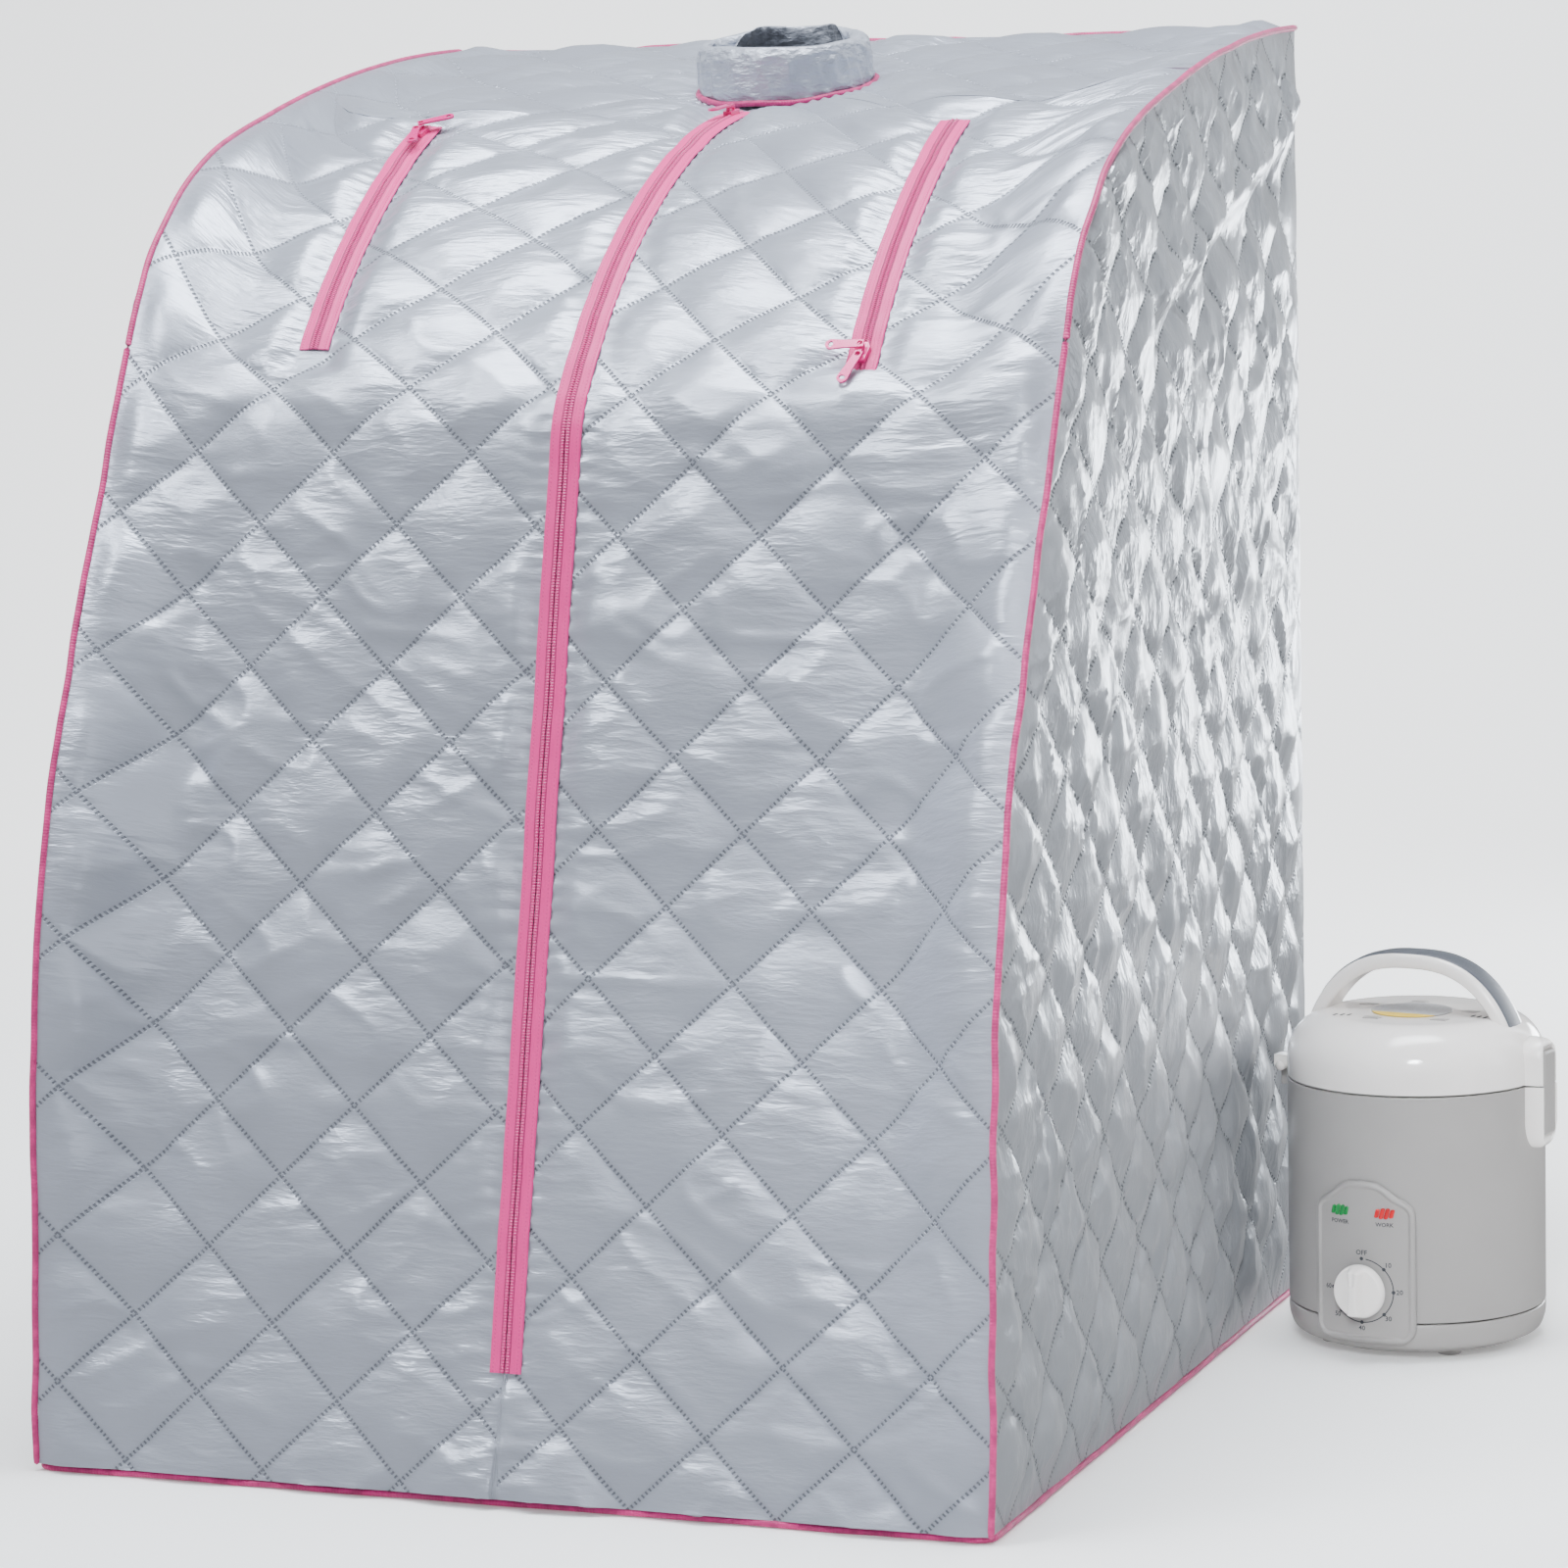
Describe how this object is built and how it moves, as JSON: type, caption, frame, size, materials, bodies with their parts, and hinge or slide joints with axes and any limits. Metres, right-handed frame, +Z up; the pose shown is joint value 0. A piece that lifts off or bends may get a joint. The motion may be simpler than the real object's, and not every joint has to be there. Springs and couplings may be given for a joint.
{
  "type": "portable steam sauna",
  "caption": "Quilted one-person steam cabinet with a zipped sloping front, arm zips and a padded neck collar, and a rice-cooker-shaped steam generator beside it.",
  "frame": {"origin": "middle of the underside of the cabinet's floor mat", "axes": "+Z up; -Y is the cabinet's zipped front; +X is its right side seen from the front, where the generator stands"},
  "size_m": [0.9319, 0.7992, 0.9926],
  "materials": {
    "silver_cloth": "quilted satin",
    "pink_tape": "satin",
    "pink_metal": "gloss",
    "spring_steel": "satin",
    "white_tube": "matte",
    "white_plastic": "gloss",
    "grey_plastic": "matte",
    "aluminium": "satin",
    "dark_plastic": "matte",
    "silicone": "matte",
    "green_lamp": "gloss",
    "red_lamp": "gloss",
    "label_foil": "satin"
  },
  "bodies": {
    "cabinet": {"floor_mat": "silver_cloth", "side_panel_left": "silver_cloth", "side_panel_right": "silver_cloth", "back_panel": "silver_cloth", "front_hem_panel": "silver_cloth", "front_band_left": "silver_cloth", "front_band_right": "silver_cloth", "shoulder_panel": "silver_cloth", "top_panel": "silver_cloth", "neck_collar": "silver_cloth", "collar_flap": "silver_cloth", "piping_left": "pink_tape", "piping_right": "pink_tape", "piping_rear_top": "pink_tape", "piping_base": "pink_tape", "hoop_left": "spring_steel", "hoop_right": "spring_steel", "rod_lower_shoulder": "white_tube", "rod_upper_shoulder": "white_tube", "rod_rear_top": "white_tube", "rod_front_floor": "white_tube", "rod_rear_floor": "white_tube", "main_zip_upper": "pink_tape", "arm_zip_left": "pink_tape", "arm_zip_right": "pink_tape", "steam_port": "grey_plastic"},
    "left_door": {"door_left": "silver_cloth", "main_zip_left": "pink_tape"},
    "right_door": {"door_right": "silver_cloth", "main_zip_right": "pink_tape"},
    "main_slider_body": {"main_slider": "pink_metal"},
    "main_pull_body": {"main_pull": "pink_metal"},
    "left_arm_slider": {"arm_slider_left": "pink_metal"},
    "left_arm_pull_low": {"arm_pull_left_low": "pink_metal"},
    "left_arm_pull_high": {"arm_pull_left_high": "pink_metal"},
    "right_arm_slider": {"arm_slider_right": "pink_metal"},
    "right_arm_pull_low": {"arm_pull_right_low": "pink_metal"},
    "right_arm_pull_high": {"arm_pull_right_high": "pink_metal"},
    "generator": {"base_pan": "white_plastic", "body_shell": "white_plastic", "inner_pot": "aluminium", "heater_plate": "aluminium", "timer_unit": "dark_plastic", "power_inlet": "dark_plastic", "control_panel": "white_plastic", "lamp_power": "green_lamp", "lamp_work": "red_lamp", "latch_housing": "white_plastic", "hinge_pin": "spring_steel"},
    "lid": {"lid_cover": "white_plastic", "lid_liner": "aluminium", "lid_gasket": "silicone", "steam_outlet": "white_plastic", "lid_label": "label_foil", "handle_frame": "white_plastic", "handle_grip": "grey_plastic", "latch_catch": "white_plastic"},
    "latch": {"latch_lever": "white_plastic"},
    "knob": {"timer_knob": "white_plastic"},
    "thermostat": {"thermostat_button": "aluminium"}
  },
  "joints": [
    {"name": "door_left_fold", "type": "hinge", "parent": "cabinet", "child": "left_door", "pos_m": [-0.26, -0.30023, 0.4], "axis": [0, -0.2351, -0.972], "range_deg": [0, 70]},
    {"name": "door_right_fold", "type": "hinge", "parent": "cabinet", "child": "right_door", "pos_m": [0.26, -0.30023, 0.4], "axis": [0, 0.2351, 0.972], "range_deg": [0, 70]},
    {"name": "main_zip_run", "type": "hinge", "parent": "cabinet", "child": "main_slider_body", "pos_m": [0, 0.17066, 0.43553], "axis": [1, 0, 0], "range_deg": [0, 41]},
    {"name": "main_pull_flip", "type": "hinge", "parent": "main_slider_body", "child": "main_pull_body", "pos_m": [0.00053, 0.09725, 0.92516], "axis": [-0.9703, 0.2392, 0.0362], "range_deg": [0, 90]},
    {"name": "arm_zip_left_run", "type": "hinge", "parent": "cabinet", "child": "left_arm_slider", "pos_m": [-0.205, 0.21779, 0.42084], "axis": [1, 0, 0], "range_deg": [0, 25]},
    {"name": "arm_pull_left_low_flip", "type": "hinge", "parent": "left_arm_slider", "child": "left_arm_pull_low", "pos_m": [-0.20546, -0.00617, 0.91452], "axis": [-0.9781, -0.1898, -0.0849], "range_deg": [0, 90]},
    {"name": "arm_pull_left_high_flip", "type": "hinge", "parent": "left_arm_slider", "child": "left_arm_pull_high", "pos_m": [-0.20694, -0.00141, 0.91665], "axis": [0.4695, -0.806, -0.3605], "range_deg": [0, 90]},
    {"name": "arm_zip_right_run", "type": "hinge", "parent": "cabinet", "child": "right_arm_slider", "pos_m": [0.205, 0.21779, 0.42084], "axis": [-1, 0, 0], "range_deg": [0, 26]},
    {"name": "arm_pull_right_low_flip", "type": "hinge", "parent": "right_arm_slider", "child": "right_arm_pull_low", "pos_m": [0.20575, -0.20594, 0.75897], "axis": [-0.9397, 0.2148, 0.2662], "range_deg": [0, 90]},
    {"name": "arm_pull_right_high_flip", "type": "hinge", "parent": "right_arm_slider", "child": "right_arm_pull_high", "pos_m": [0.2072, -0.20192, 0.76396], "axis": [-0.0349, 0.6276, 0.7778], "range_deg": [0, 90]},
    {"name": "generator_lift", "type": "slide", "parent": "cabinet", "child": "generator", "axis": [0, 0, 1], "range_m": [0, 0.3]},
    {"name": "lid_hinge", "type": "hinge", "parent": "generator", "child": "lid", "pos_m": [0.37279, 0.26393, 0.2], "axis": [-0.1874, -0.9823, 0], "range_deg": [0, 36]},
    {"name": "latch_press", "type": "hinge", "parent": "generator", "child": "latch", "pos_m": [0.57539, 0.22528, 0.18], "axis": [0.1874, 0.9823, 0], "range_deg": [0, 8], "stiffness_Nm_per_rad": 0.3, "springref_deg": -11.46},
    {"name": "timer_turn", "type": "hinge", "parent": "generator", "child": "knob", "pos_m": [0.45232, 0.14186, 0.053], "axis": [0.1874, 0.9823, 0], "range_deg": [0, 270]},
    {"name": "thermostat_press", "type": "slide", "parent": "generator", "child": "thermostat", "axis": [0, 0, -1], "range_m": [0, 0.003], "stiffness_N_per_m": 300, "springref_m": -0.002}
  ]
}
